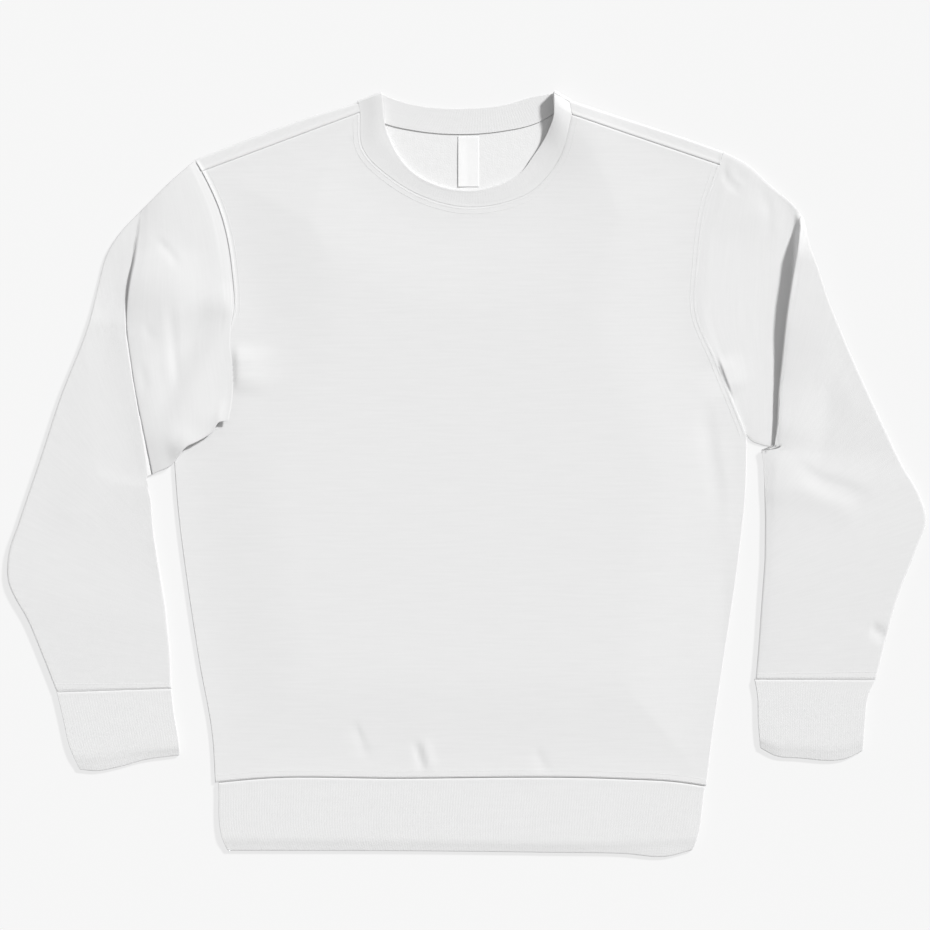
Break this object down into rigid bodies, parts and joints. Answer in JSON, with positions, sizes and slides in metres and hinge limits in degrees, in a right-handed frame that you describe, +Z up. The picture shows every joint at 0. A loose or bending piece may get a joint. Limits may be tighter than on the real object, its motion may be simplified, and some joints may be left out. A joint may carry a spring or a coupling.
{
  "type": "crewneck sweatshirt",
  "caption": "Crewneck sweatshirt laid flat on its back, its long sleeves folded down beside the body, with ribbed neckband, cuffs and hem band.",
  "frame": {"origin": "middle of the laid-out garment's box, on the plane that its underside rests on", "axes": "+X towards the sleeve that is on the right as seen from above, +Y from hem to neck, +Z up, out of the front of the garment"},
  "size_m": [0.8726, 0.7281, 0.0169],
  "materials": {
    "fleece": "matte white cotton jersey with a brushed back",
    "rib": "matte white rib knit",
    "label": "smooth white woven tape, left bare"
  },
  "bodies": {
    "root": {"front": "fleece", "back": "fleece", "sleeve_left": "fleece", "sleeve_right": "fleece", "cuff_left": "rib", "cuff_right": "rib", "hem_band": "rib", "neckband": "rib", "label": "label"}
  },
  "joints": []
}
